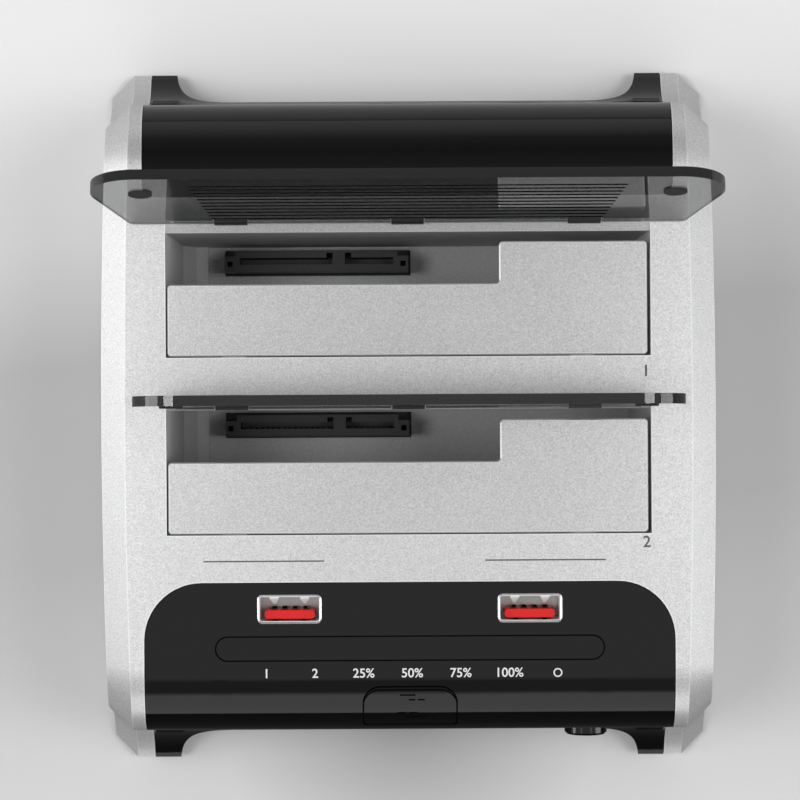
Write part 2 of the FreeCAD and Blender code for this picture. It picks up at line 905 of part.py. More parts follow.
def connector(bay):
    y = connector_y(bay)
    half_x = connector_length / 2
    half_y = connector_depth / 2
    body = box(connector_x - half_x, connector_x + half_x, y - half_y, y + half_y, board_top, connector_top)
    for side in (-1, 1):
        x0, x1 = sorted((connector_x + side * (half_x - 0.5), connector_x + side * (half_x + horn_length)))
        horn = box(x0, x1, y - half_y, y - half_y + horn_depth, board_top, connector_top)
        middle = connector_x + side * (half_x + horn_length / 2)
        slot = box(middle - horn_slot / 2, middle + horn_slot / 2, y - half_y + horn_slot,
                   y - half_y + 2 * horn_slot, connector_top - channel_depth, connector_top + 1)
        body = body.fuse(horn).cut(slot)
    half = channel_width / 2
    for x0, x1, key, _ in channel_spans():
        body = body.cut(box(x0, x1, y - half, y + half, connector_top - channel_depth, connector_top + 1))
        body = body.cut(box(key, key + channel_key, y, y + half + channel_key_depth,
                            connector_top - channel_depth, connector_top + 1))
    return body


def connector_contacts(bay):
    contacts = []
    y = connector_y(bay) - channel_width / 2
    z = connector_top - channel_depth
    for x0, x1, _, count in channel_spans():
        for index in range(count):
            x = (x0 + x1) / 2 + (index - (count - 1) / 2) * contact_pitch
            contacts.append(box(x - contact_width / 2, x + contact_width / 2, y, y + contact_thickness,
                                z, z + contact_height))
    return Part.makeCompound(contacts)


# ---- Boards and what stands on them ----

def main_board():
    half_x = board_half_width
    half_y = board_half_length
    return box(-half_x, half_x, -half_y, half_y, board_bottom, board_top)


def port_board():
    """The upright board that stands on the main board and carries both rear ports."""
    x0 = host_x - host_width / 2 - port_board_margin
    x1 = jack_x + jack_width / 2 + port_board_margin
    top = port_bottom + jack_height + port_board_margin
    return box(x0, x1, port_back_y - board_thickness, port_back_y, board_top, top)


def bridge_chip():
    half = chip_size / 2
    return box(chip_x - half, chip_x + half, chip_y - half, chip_y + half, board_top, board_top + chip_height)


def capacitors():
    cans = []
    for index in range(capacitor_count):
        x = -chip_x - index * capacitor_pitch
        base = Vec(x, chip_y, board_top)
        cans.append(facet_rod(capacitor_radius, base, base.add(Vec(0, 0, capacitor_height))))
    return Part.makeCompound(cans)


def front_board():
    half = front_board_half_width
    return box(-half, half, front_board_front, front_board_back, front_board_bottom, front_board_top)


def board_headers():
    half = header_width / 2
    y0 = header_y - header_depth / 2
    y1 = header_y + header_depth / 2
    low = box(-half, half, y0, y1, board_top, board_top + header_height)
    high = box(-half, half, y0, y1, front_board_bottom - header_height, front_board_bottom)
    return Part.makeCompound([low, high])


def board_ribbon():
    half = header_width / 2 - 1
    return box(-half, half, header_y - ribbon_thickness / 2, header_y + ribbon_thickness / 2,
               board_top + header_height, front_board_bottom - header_height)


# ---- USB ports, light bar and buttons ----

def usb_shell(side):
    shell = usb_outline(side, 0, front_board_top, deck_height)
    return shell.cut(usb_outline(side, -usb_wall, front_board_top + usb_wall, deck_height + 1))


def usb_insert(side):
    """The moulded block at the bottom of a port, which carries the tongue."""
    gap = usb_wall + 0.02
    return usb_outline(side, -gap, front_board_top + usb_wall, deck_height - usb_back_drop)


def usb_tongue(side):
    x = side * usb_x
    y0 = usb_y - usb_width / 2 + usb_tongue_gap
    return box(x - usb_tongue_length / 2, x + usb_tongue_length / 2, y0, y0 + usb_tongue_thickness,
               deck_height - usb_back_drop, deck_height - usb_tongue_drop)


def usb_contacts():
    strips = []
    y = usb_y - usb_width / 2 + usb_tongue_gap + usb_tongue_thickness
    for side in (-1, 1):
        for index in range(usb_contact_count):
            x = side * usb_x + (index - (usb_contact_count - 1) / 2) * usb_contact_pitch
            strips.append(box(x - usb_contact_width / 2, x + usb_contact_width / 2, y, y + contact_thickness,
                              deck_height - usb_back_drop, deck_height - usb_tongue_drop - 0.8))
    return Part.makeCompound(strips)


def led_middles():
    return [(index - (led_count - 1) / 2) * led_pitch for index in range(led_count)]


def light_bar():
    bar = bar_outline(0, deck_height - bar_thickness, deck_height)
    foot = front_board_top + led_height + 0.2
    top = deck_height - 1
    half = pipe_width / 2
    pipes = [box(x - half, x + half, bar_y - half, bar_y + half, foot, top) for x in led_middles()]
    return bar.fuse(pipes)


def status_leds():
    leds = []
    for x in led_middles():
        leds.append(box(x - led_length / 2, x + led_length / 2, bar_y - led_width / 2, bar_y + led_width / 2,
                        front_board_top, front_board_top + led_height))
    return Part.makeCompound(leds)


def clone_button():
    back = skin + 0.15
    rim = back + clone_flange_thickness
    rim_body = body_solid(rim, shell_bottom - 3)
    plate = clone_prism(0, skin * 3).common(outer_body.cut(rim_body))
    flange = clone_prism(clone_flange, skin * 3).common(body_solid(back, shell_bottom - 3).cut(rim_body))
    start = clone_middle.add(Vec(press_way).multiply(skin))
    end = clone_middle.add(Vec(press_way).multiply(clone_plunger_end))
    return plate.fuse([flange, facet_rod(clone_plunger_radius, start, end)]).removeSplitter()


def clone_switch():
    """A tact switch on a wedge that squares it to the button's travel."""
    top = clone_middle.add(Vec(press_way).multiply(clone_plunger_end + clone_travel + switch_gap))
    base = top.add(Vec(press_way).multiply(switch_height))
    half = switch_size / 2
    front = base.sub(Vec(press_slope).multiply(half))
    back = base.add(Vec(press_slope).multiply(half))
    corners = [Vec(-half, p.y, p.z) for p in (front, back)]
    corners.append(Vec(-half, back.y, front_board_top))
    corners.append(Vec(-half, front.y, front_board_top))
    wedge = Part.Face(rounded_outline(corners, [0] * 4)).extrude(Vec(switch_size, 0, 0))
    lift = Vec(press_way).multiply(-switch_height)
    seat = [Vec(-half, p.y, p.z) for p in (front, back, back.add(lift), front.add(lift))]
    body = Part.Face(rounded_outline(seat, [0] * 4)).extrude(Vec(switch_size, 0, 0))
    return wedge.fuse(body).removeSplitter()


def power_button():
    face_y = power_wall + power_proud
    button = rod(power_radius, Vec(power_x, -face_y, power_z), Vec(power_x, -power_tail_y, power_z))
    rim = [e for e in button.Edges if all(abs(v.Y + face_y) < 1e-3 for v in e.Vertexes)]
    button = button.makeChamfer(power_rim, rim)
    dish_end = Vec(power_x, power_dish_depth - face_y, power_z)
    button = button.cut(rod(power_radius - power_dish_margin, Vec(power_x, -face_y - 1, power_z), dish_end))
    flange_end = power_flange_y - power_flange_thickness
    flange = rod(power_radius + power_flange, Vec(power_x, -power_flange_y, power_z),
                 Vec(power_x, -flange_end, power_z))
    return button.fuse(flange)


def power_switch():
    half = power_switch_size / 2
    return box(power_x - half, power_x + half, -power_switch_y, -power_switch_y + power_switch_depth,
               power_z - half, power_z + half)


# ---- Ports in the rear wall ----

def dc_jack():
    body = port_boxes(0, port_face_y)[0]
    z = port_bottom + jack_height / 2
    return body.cut(rod(jack_bore, Vec(jack_x, port_back_y + jack_block, z), Vec(jack_x, port_face_y + 1, z)))


def dc_pin():
    z = port_bottom + jack_height / 2
    start = port_back_y + jack_block
    return facet_rod(jack_pin_radius, Vec(jack_x, start, z), Vec(jack_x, port_face_y - jack_pin_drop, z))


def host_port_shell():
    shell = port_boxes(0, port_face_y)[1]
    inner = host_width / 2 - host_wall
    z0 = port_bottom + host_wall
    z1 = port_bottom + host_height - host_wall
    return shell.cut(box(host_x - inner, host_x + inner, port_back_y + host_wall, port_face_y + 1, z0, z1))


def host_port_insert():
    """The block at the back of the host port and the tongue that a square plug slides over."""
    inner = host_width / 2 - host_wall
    half = host_tongue_width / 2
    z0 = port_bottom + host_wall
    z1 = port_bottom + host_height - host_wall
    back = port_back_y + host_wall
    low = (z0 + z1 - host_tongue_height) / 2
    block = box(host_x - inner, host_x + inner, back, back + host_block, z0, z1)
    end = port_face_y - host_tongue_drop
    return block.fuse(box(host_x - half, host_x + half, back, end, low, low + host_tongue_height))


shell_part = upper_shell()
save(shell_part, "upper_shell")
save(front_panel(), "front_panel")
save(rear_panel(), "rear_panel")
save(base_pan(), "base_pan")
save(rubber_feet(), "rubber_feet")
for bay_name, bay_sizes in bays.items():
    save(bay_liner(bay_sizes), bay_name + "_bay_liner")
    save(door(bay_sizes), bay_name + "_door")
    save(door_pins(bay_sizes), bay_name + "_door_pins")
    save(door_springs(bay_sizes), bay_name + "_door_springs")
    save(flap(bay_sizes), bay_name + "_flap")
    save(flap_pin(bay_sizes), bay_name + "_flap_pin")
    save(flap_knuckles(bay_sizes, shell_part), bay_name + "_flap_knuckles")
    save(flap_bumpers(bay_sizes), bay_name + "_flap_bumpers")
    save(connector(bay_sizes), bay_name + "_connector")
    save(connector_contacts(bay_sizes), bay_name + "_connector_contacts")
for side_name, side_sign in (("left", -1), ("right", 1)):
    save(usb_shell(side_sign), "usb_shell_" + side_name)
    save(usb_insert(side_sign), "usb_insert_" + side_name)
    save(usb_tongue(side_sign), "usb_tongue_" + side_name)
save(usb_contacts(), "usb_contacts")
save(main_board(), "main_board")
save(port_board(), "port_board")
save(bridge_chip(), "bridge_chip")
save(capacitors(), "capacitors")
save(front_board(), "front_board")
save(board_headers(), "board_headers")
save(board_ribbon(), "board_ribbon")
save(light_bar(), "light_bar")
save(status_leds(), "status_leds")
save(clone_button(), "clone_button")
save(clone_switch(), "clone_switch")
save(power_button(), "power_button")
save(power_switch(), "power_switch")
save(dc_jack(), "dc_jack")
save(dc_pin(), "dc_pin")
save(host_port_shell(), "host_port_shell")
save(host_port_insert(), "host_port_insert")
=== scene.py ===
import json
import math
import bmesh
import bpy
from mathutils import Matrix, Vector


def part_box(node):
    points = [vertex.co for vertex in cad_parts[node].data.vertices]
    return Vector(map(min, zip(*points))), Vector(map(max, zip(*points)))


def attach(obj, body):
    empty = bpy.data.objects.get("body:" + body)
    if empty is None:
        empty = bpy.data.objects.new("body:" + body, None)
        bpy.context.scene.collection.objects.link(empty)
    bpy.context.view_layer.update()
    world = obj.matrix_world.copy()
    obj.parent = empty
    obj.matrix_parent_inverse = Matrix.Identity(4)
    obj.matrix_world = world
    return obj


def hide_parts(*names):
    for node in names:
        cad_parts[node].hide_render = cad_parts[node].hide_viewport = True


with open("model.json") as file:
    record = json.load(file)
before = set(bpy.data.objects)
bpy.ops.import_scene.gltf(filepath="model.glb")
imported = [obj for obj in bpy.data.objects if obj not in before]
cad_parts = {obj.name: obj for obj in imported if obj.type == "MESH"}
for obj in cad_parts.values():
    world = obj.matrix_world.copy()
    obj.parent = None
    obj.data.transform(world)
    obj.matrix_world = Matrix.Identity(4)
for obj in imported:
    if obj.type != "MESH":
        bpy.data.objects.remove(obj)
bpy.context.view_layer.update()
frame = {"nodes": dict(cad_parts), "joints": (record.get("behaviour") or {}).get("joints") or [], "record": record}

mm = 0.001


def newGroup(name, inputs, outputs):
    group = bpy.data.node_groups.new(name, "ShaderNodeTree")
    for socketName, socketType, value in inputs:
        socket = group.interface.new_socket(socketName, in_out="INPUT", socket_type=socketType)
        socket.default_value = value
    for socketName, socketType in outputs:
        group.interface.new_socket(socketName, in_out="OUTPUT", socket_type=socketType)
    return group, group.nodes.new("NodeGroupInput"), group.nodes.new("NodeGroupOutput")


def link(tree, start, end):
    tree.links.new(start, end)


def mathNode(tree, operation, *values):
    # each value is a number or the socket that gives it
    node = tree.nodes.new("ShaderNodeMath")
    node.operation = operation
    for socket, value in zip(node.inputs, values):
        if isinstance(value, (int, float)):
            socket.default_value = value
        else:
            link(tree, value, socket)
    return node


def makeGrainGroup():
    # fine specks over the surface: a lighter and darker tint, and a height for a bump
    group, given, result = newGroup(
        "specks",
        [
            ("Color", "NodeSocketColor", (0.5, 0.5, 0.5, 1)),
            ("Size", "NodeSocketFloat", 0.0003),
            ("Contrast", "NodeSocketFloat", 0.1),
        ],
        [("Color", "NodeSocketColor"), ("Height", "NodeSocketFloat")],
    )
    coords = group.nodes.new("ShaderNodeTexCoord")
    perMetre = mathNode(group, "DIVIDE", 1.0, given.outputs["Size"])
    noise = group.nodes.new("ShaderNodeTexNoise")
    noise.inputs["Detail"].default_value = 1.5
    noise.inputs["Roughness"].default_value = 0.6
    link(group, coords.outputs["Object"], noise.inputs["Vector"])
    link(group, perMetre.outputs[0], noise.inputs["Scale"])
    centred = mathNode(group, "SUBTRACT", noise.outputs["Fac"], 0.5)
    spread = mathNode(group, "MULTIPLY", centred.outputs[0], given.outputs["Contrast"])
    gain = mathNode(group, "ADD", spread.outputs[0], 1.0)
    tint = group.nodes.new("ShaderNodeVectorMath")
    tint.operation = "SCALE"
    link(group, given.outputs["Color"], tint.inputs[0])
    link(group, gain.outputs[0], tint.inputs["Scale"])
    link(group, tint.outputs[0], result.inputs["Color"])
    link(group, noise.outputs["Fac"], result.inputs["Height"])
    return group


def makeHandlingGroup():
    # soft patches where hands and cloths have passed: a roughness that wanders
    group, given, result = newGroup(
        "handling",
        [
            ("Roughness", "NodeSocketFloat", 0.2),
            ("Spread", "NodeSocketFloat", 0.1),
            ("Patch", "NodeSocketFloat", 0.02),
        ],
        [("Roughness", "NodeSocketFloat")],
    )
    coords = group.nodes.new("ShaderNodeTexCoord")
    perMetre = mathNode(group, "DIVIDE", 1.0, given.outputs["Patch"])
    noise = group.nodes.new("ShaderNodeTexNoise")
    noise.inputs["Detail"].default_value = 4.0
    link(group, coords.outputs["Object"], noise.inputs["Vector"])
    link(group, perMetre.outputs[0], noise.inputs["Scale"])
    spread, level = given.outputs["Spread"], given.outputs["Roughness"]
    mixed = mathNode(group, "MULTIPLY_ADD", noise.outputs["Fac"], spread, level)
    link(group, mixed.outputs[0], result.inputs["Roughness"])
    return group


def makeEdgeHighlightGroup():
    # a mask that is white along every edge, where the base colour is lightened as a painted highlight of edges
    # catching the light
    group, given, result = newGroup(
        "edges",
        [("Reach", "NodeSocketFloat", 0.0003), ("Gain", "NodeSocketFloat", 6.0)],
        [("Mask", "NodeSocketFloat")],
    )
    rounded = group.nodes.new("ShaderNodeBevel")
    rounded.samples = 4
    link(group, given.outputs["Reach"], rounded.inputs["Radius"])
    flat = group.nodes.new("ShaderNodeNewGeometry")
    agree = group.nodes.new("ShaderNodeVectorMath")
    agree.operation = "DOT_PRODUCT"
    link(group, rounded.outputs["Normal"], agree.inputs[0])
    link(group, flat.outputs["Normal"], agree.inputs[1])
    differ = mathNode(group, "SUBTRACT", 1.0, agree.outputs["Value"])
    gain = mathNode(group, "MULTIPLY", differ.outputs[0], given.outputs["Gain"])
    gain.use_clamp = True
    link(group, gain.outputs[0], result.inputs["Mask"])
    return group


specks = makeGrainGroup()
handling = makeHandlingGroup()
# the edge mask drives a painted highlight along edges
edges = makeEdgeHighlightGroup()


# what a finish has where its own look says nothing
plainLook = {
    "grain": 0.0004, "contrast": 0.15, "roughness": 0.4, "spread": 0.08, "patch": 0.02, "metallic": 0.0,
    "ior": 1.5, "specular": 0.5, "coat": 0.0, "coatRoughness": 0.05, "transmission": 0.0,
}
bumpPerGrain = 0.15


def finish(name, ownLook):
    # specks for the colour and bump, handling for the roughness, constants on the shader itself
    look = {**plainLook, **ownLook}
    material = bpy.data.materials.new(name)
    material.use_nodes = True
    tree = material.node_tree
    shader = tree.nodes["Principled BSDF"]
    grain = tree.nodes.new("ShaderNodeGroup")
    grain.node_tree = specks
    grain.inputs["Color"].default_value = (*look["color"], 1)
    grain.inputs["Size"].default_value = look["grain"]
    grain.inputs["Contrast"].default_value = look["contrast"]
    tinted = grain.outputs["Color"]
    # painted highlight: the base colour turns near white along edges, standing in for edges that catch the light
    if look.get("edgeHighlightColor"):
        rim = tree.nodes.new("ShaderNodeGroup")
        rim.node_tree = edges
        rim.inputs["Reach"].default_value = look["edgeHighlightReach"]
        rim.inputs["Gain"].default_value = look["edgeHighlightGain"]
        paintedEdgeLight = tree.nodes.new("ShaderNodeMix")
        paintedEdgeLight.data_type = "RGBA"
        paintedEdgeLight.inputs[7].default_value = (*look["edgeHighlightColor"], 1)
        link(tree, rim.outputs["Mask"], paintedEdgeLight.inputs[0])
        link(tree, tinted, paintedEdgeLight.inputs[6])
        link(tree, paintedEdgeLight.outputs[2], shader.inputs["Base Color"])
    else:
        link(tree, tinted, shader.inputs["Base Color"])
    wear = tree.nodes.new("ShaderNodeGroup")
    wear.node_tree = handling
    wear.inputs["Roughness"].default_value = look["roughness"]
    wear.inputs["Spread"].default_value = look["spread"]
    wear.inputs["Patch"].default_value = look["patch"]
    link(tree, wear.outputs["Roughness"], shader.inputs["Roughness"])
    if look.get("bump"):
        bump = tree.nodes.new("ShaderNodeBump")
        bump.inputs["Strength"].default_value = look["bump"]
        bump.inputs["Distance"].default_value = look["grain"] * bumpPerGrain
        link(tree, grain.outputs["Height"], bump.inputs["Height"])
        link(tree, bump.outputs["Normal"], shader.inputs["Normal"])
    shader.inputs["Metallic"].default_value = look["metallic"]
    shader.inputs["IOR"].default_value = look["ior"]
    shader.inputs["Specular IOR Level"].default_value = look["specular"]
    shader.inputs["Coat Weight"].default_value = look["coat"]
    shader.inputs["Coat Roughness"].default_value = look["coatRoughness"]
    shader.inputs["Transmission Weight"].default_value = look["transmission"]
    if look.get("absorb"):
        absorption = tree.nodes.new("ShaderNodeVolumeAbsorption")
        absorption.inputs["Color"].default_value = (*look["absorbColor"], 1)
        absorption.inputs["Density"].default_value = look["absorb"]
        output = tree.nodes["Material Output"]
        link(tree, absorption.outputs["Volume"], output.inputs["Volume"])
    return material


looks = {
    "silverPaint": {
        "color": (0.74, 0.74, 0.745), "grain": 0.00026, "contrast": 1.0, "bump": 0.25,
        "metallic": 0.55, "roughness": 0.32, "spread": 0.06, "coat": 0.1, "coatRoughness": 0.25,
        "edgeHighlightColor": (0.97, 0.97, 0.97), "edgeHighlightReach": 0.0004, "edgeHighlightGain": 220.0},
    # the doors: the silver paint again with a darker colour, as painted shade
    "shadedDoorPaint": {
        "color": (0.68, 0.68, 0.685), "grain": 0.00026, "contrast": 1.0, "bump": 0.25,
        "metallic": 0.65, "roughness": 0.30, "spread": 0.06, "coat": 0.1, "coatRoughness": 0.25,
        "edgeHighlightColor": (0.97, 0.97, 0.97), "edgeHighlightReach": 0.0003, "edgeHighlightGain": 60.0},
    "pianoBlack": {
        "color": (0.002, 0.002, 0.0021), "grain": 0.0006, "contrast": 0.3,
        "roughness": 0.05, "spread": 0.06, "patch": 0.03, "coat": 0.1, "coatRoughness": 0.03},
    "mattBlack": {
        "color": (0.018, 0.018, 0.019), "grain": 0.0005, "contrast": 0.4, "bump": 0.4,
        "roughness": 0.45, "spread": 0.12},
    "linerGrey": {
        "color": (0.58, 0.58, 0.585), "grain": 0.00034, "contrast": 0.5, "bump": 0.3,
        "roughness": 0.5, "spread": 0.1},
    "smokedAcrylic": {
        "color": (0.96, 0.965, 0.97), "grain": 0.004, "contrast": 0.02,
        "roughness": 0.01, "spread": 0.03, "patch": 0.03, "ior": 1.49, "transmission": 0.975,
        "coat": 0.3, "coatRoughness": 0.01, "absorb": 350.0, "absorbColor": (0.08, 0.085, 0.09)},
    "smokedBar": {
        "color": (0.004, 0.004, 0.0042), "grain": 0.0006, "contrast": 0.3,
        "roughness": 0.08, "spread": 0.06, "patch": 0.02},
    "softRubber": {
        "color": (0.022, 0.022, 0.022), "grain": 0.0006, "contrast": 0.4, "bump": 0.5,
        "roughness": 0.7, "spread": 0.15},
    "platedSteel": {
        "color": (0.72, 0.72, 0.73), "grain": 0.0008, "contrast": 0.1,
        "metallic": 1.0, "roughness": 0.18, "spread": 0.12, "patch": 0.004},
    "portSteel": {
        "color": (0.90, 0.90, 0.91), "grain": 0.0006, "contrast": 0.08,
        "metallic": 0.3, "roughness": 0.28, "spread": 0.1, "patch": 0.003},
    "goldFlash": {
        "color": (0.86, 0.62, 0.25), "grain": 0.0006, "contrast": 0.12,
        "metallic": 1.0, "roughness": 0.2, "spread": 0.1, "patch": 0.003},
    # gold contacts made near black, as painted shade for contacts deep in their channels
    "shadedContact": {
        "color": (0.02, 0.018, 0.014), "grain": 0.0006, "contrast": 0.12,
        "metallic": 0.5, "roughness": 0.35, "spread": 0.1, "patch": 0.003},
    "whiteNylon": {
        "color": (0.80, 0.80, 0.78), "grain": 0.0006, "contrast": 0.08,
        "roughness": 0.4, "spread": 0.1},
    "redTongue": {
        "color": (0.85, 0.015, 0.015), "grain": 0.0006, "contrast": 0.12,
        "roughness": 0.35, "spread": 0.1, "specular": 0.3},
    "solderMask": {
        "color": (0.006, 0.032, 0.014), "grain": 0.0012, "contrast": 0.3,
        "roughness": 0.3, "spread": 0.12},
    "drawnCan": {
        "color": (0.75, 0.75, 0.76), "grain": 0.0005, "contrast": 0.1,
        "metallic": 1.0, "roughness": 0.3, "spread": 0.1, "patch": 0.003},
    "whiteInk": {
        "color": (0.86, 0.86, 0.86), "grain": 0.0004, "contrast": 0.06, "roughness": 0.45},
    "greyInk": {
        "color": (0.10, 0.10, 0.102), "grain": 0.0004, "contrast": 0.2, "roughness": 0.5},
    "blackInk": {
        "color": (0.003, 0.003, 0.003), "grain": 0.0004, "contrast": 0.2,
        "roughness": 0.6, "specular": 0.0},
}
finishes = {name: finish(name, look) for name, look in looks.items()}
slotFinish = {
    "silver_paint": "silverPaint", "gloss_black": "pianoBlack", "black_plastic": "mattBlack",
    "liner_grey": "linerGrey", "smoked_acrylic": "smokedAcrylic", "rubber": "softRubber",
    "steel": "platedSteel", "contact_metal": "goldFlash", "white_plastic": "whiteNylon",
    "red_plastic": "redTongue", "circuit_board": "solderMask", "can_aluminium": "drawnCan",
}
# nodes that differ from the rest of their slot: contacts deep in their channels get a near-black colour as painted
# shade, for one, and the doors a darker silver paint as painted shade
nodeFinish = {
    "usb_contacts": "shadedContact", "source_connector_contacts": "shadedContact",
    "target_connector_contacts": "shadedContact", "light_bar": "smokedBar",
    "usb_shell_left": "portSteel", "usb_shell_right": "portSteel",
    "source_door": "shadedDoorPaint", "target_door": "shadedDoorPaint",
}
for entry in frame["record"]["subparts"]:
    node = frame["nodes"][entry["node"]]
    node.data.materials.clear()
    finishName = nodeFinish.get(entry["node"], slotFinish[entry["material_slot"]])
    node.data.materials.append(finishes[finishName])
print("finishes placed on", len(frame["nodes"]), "nodes")

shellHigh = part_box("upper_shell")[1]
deckZ = shellHigh.z


def jointNamed(name):
    return next(joint for joint in frame["joints"] if joint["name"] == name)


def newPiece(name, mesh, material, body):
    piece = bpy.data.objects.new(name, mesh)
    bpy.context.scene.collection.objects.link(piece)
    piece.data.materials.clear()
    piece.data.materials.append(finishes[material])
    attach(piece, body)
    return piece


def slab(bm, low, high):
    # one straight block between two corners, made from a cube
    made = bmesh.ops.create_cube(bm, size=1.0)["verts"]
    size = Vector(high) - Vector(low)
    middle = (Vector(high) + Vector(low)) / 2
    bmesh.ops.scale(bm, vec=size, verts=made)
    bmesh.ops.translate(bm, vec=middle, verts=made)
    return made


def meshFrom(bm, name):
    mesh = bpy.data.meshes.new(name)
    bm.normal_update()
    bm.to_mesh(mesh)
    bm.free()
    return mesh


def roundOff(bm, geom, radius, segments, affect="EDGES"):
    bmesh.ops.bevel(bm, geom=geom, offset=radius, offset_type="OFFSET", segments=segments, profile=0.5,
                    affect=affect, clamp_overlap=True, material=-1)


def softBlock(bm, low, high, radius, segments=2):
    # a block whose edges are all rounded
    made = slab(bm, low, high)
    roundOff(bm, list({edge for vert in made for edge in vert.link_edges}), radius, segments)


def cutMiddle(bm, faces, width):
    # leaves a border of one width round the faces
    bmesh.ops.inset_region(bm, faces=faces, thickness=width, use_even_offset=True, use_boundary=True)
    bmesh.ops.delete(bm, geom=faces, context="FACES")


def liftVerts(bm, geom, height):
    # moves up what an extrusion has just made
    verts = [item for item in geom if isinstance(item, bmesh.types.BMVert)]
    bmesh.ops.translate(bm, vec=(0, 0, height), verts=verts)
    return verts


def thicken(bm, height):
    liftVerts(bm, bmesh.ops.extrude_face_region(bm, geom=bm.faces[:])["geom"], height)


# how far the strokes of a figure are thickened, as a share of its height
boldness = 0.012


def textMesh(name, words, height, thickness, align="CENTER"):
    # plain figures turned into a mesh that lies flat at the origin
    curve = bpy.data.curves.new(name, "FONT")
    curve.body = words
    curve.size = height
    curve.align_x = align
    curve.align_y = "CENTER"
    curve.extrude = thickness
    curve.offset = height * boldness
    holder = bpy.data.objects.new(name, curve)
    bpy.context.scene.collection.objects.link(holder)
    bpy.context.view_layer.update()
    mesh = bpy.data.meshes.new_from_object(holder.evaluated_get(bpy.context.evaluated_depsgraph_get()))
    bpy.data.objects.remove(holder)
    bpy.data.curves.remove(curve)
    return mesh


# thin lines and figures printed on the silver deck
deckPrint = {
    "lineY": -30.4 * mm, "lineWidth": 0.3 * mm,
    "lines": ((-43.5 * mm, -18.0 * mm), (16.0 * mm, 41.5 * mm)),
    "figures": {"bayFigureOne": ("1", 9.3 * mm), "bayFigureTwo": ("2", -26.8 * mm)},
    "figureX": 51.0 * mm, "figureHeight": 3.4 * mm, "ink": 0.02 * mm,
}


def makeDeckPrint():
    half = deckPrint["lineWidth"] / 2
    ink = deckPrint["ink"]
    bm = bmesh.new()
    for left, right in deckPrint["lines"]:
        low = (left, deckPrint["lineY"] - half, deckZ - ink)
        slab(bm, low, (right, deckPrint["lineY"] + half, deckZ + ink))
    newPiece("deckLines", meshFrom(bm, "deckLines"), "greyInk", "housing")
    for name, (figure, y) in deckPrint["figures"].items():
        mesh = textMesh(name, figure, deckPrint["figureHeight"], ink, "RIGHT")
        mesh.transform(Matrix.Translation((deckPrint["figureX"], y, deckZ + ink)))
        newPiece(name, mesh, "greyInk", "housing")


# figures beside the row of indicators
marks = {
    "words": ("1", "2", "25%", "50%", "75%", "100%"), "firstX": -30.3 * mm, "pitch": 10.25 * mm,
    "y": -54.2 * mm, "height": 2.75 * mm, "ink": 0.02 * mm,
    "ringRadius": 0.95 * mm, "ringWidth": 0.28 * mm, "ringSides": 32,
}
shoulder = {"y": -53.27 * mm, "radius": 14.5 * mm}
shoulder["z"] = deckZ - shoulder["radius"]


def shoulderTurn(y):
    # how far round the front shoulder a place on it lies, from the deck
    return math.asin(max(0.0, (shoulder["y"] - y) / shoulder["radius"]))


def shoulderMatrix(turn, lift):
    # lays a flat piece on the front shoulder
    out = shoulder["radius"] + lift
    place = (0, shoulder["y"] - out * math.sin(turn), shoulder["z"] + out * math.cos(turn))
    return Matrix.Translation(place) @ Matrix.Rotation(turn, 4, "X")


def makeMarks():
    turn = shoulderTurn(marks["y"])
    for index, words in enumerate(marks["words"]):
        name = "mark" + str(index + 1)
        mesh = textMesh(name, words, marks["height"], marks["ink"])
        along = Matrix.Translation((marks["firstX"] + index * marks["pitch"], 0, 0))
        mesh.transform(shoulderMatrix(turn, marks["ink"]) @ along)
        newPiece(name, mesh, "whiteInk", "housing")
    bm = bmesh.new()
    radius, sides = marks["ringRadius"], marks["ringSides"]
    rim = bmesh.ops.create_circle(bm, cap_ends=True, radius=radius, segments=sides)["verts"]
    disc = list({face for vert in rim for face in vert.link_faces})
    cutMiddle(bm, disc, marks["ringWidth"])
    thicken(bm, 2 * marks["ink"])
    bmesh.ops.recalc_face_normals(bm, faces=bm.faces[:])
    x = marks["firstX"] + len(marks["words"]) * marks["pitch"]
    place = shoulderMatrix(turn, 0) @ Matrix.Translation((x, 0, 0))
    bmesh.ops.transform(bm, matrix=place, verts=bm.verts[:])
    newPiece("markRing", meshFrom(bm, "markRing"), "whiteInk", "housing")


# faint plain dashes on the large button, in rows down its curve
buttonDashes = {
    "width": 0.34 * mm, "ink": 0.03 * mm,
    "rows": (
        (23.0, ((-2.2, 1.1),)),
        (27.6, ((-0.3, 1.1), (1.6, 3.1))),
        (42.0, ((-2.7, -0.7), (-0.3, 1.6))),
        (48.0, ((-0.7, 3.5),)),
    ),
}


def makeButtonDashes():
    half = buttonDashes["width"] / 2
    ink = buttonDashes["ink"]
    bm = bmesh.new()
    for degrees, spans in buttonDashes["rows"]:
        row = shoulderMatrix(math.radians(degrees), 0)
        for left, right in spans:
            made = slab(bm, (left * mm, -half, -ink), (right * mm, half, ink))
            bmesh.ops.transform(bm, matrix=row, verts=made)
    newPiece("buttonDashes", meshFrom(bm, "buttonDashes"), "blackInk", "clone_button")


# black strips that fill the grooves of the flaps, in the flap's own plane
flapStrips = {
    "count": 11, "first": 2.8 * mm, "pitch": 2.27 * mm, "width": 0.9 * mm, "fill": 0.26 * mm,
    "face": -1.05 * mm, "depth": 0.3 * mm, "baseReach": 41.0 * mm, "topReach": 44.0 * mm, "fit": 0.02 * mm,
    "edge": 0.05 * mm,
    "leans": {"source": 12.0, "target": 1.0},
}


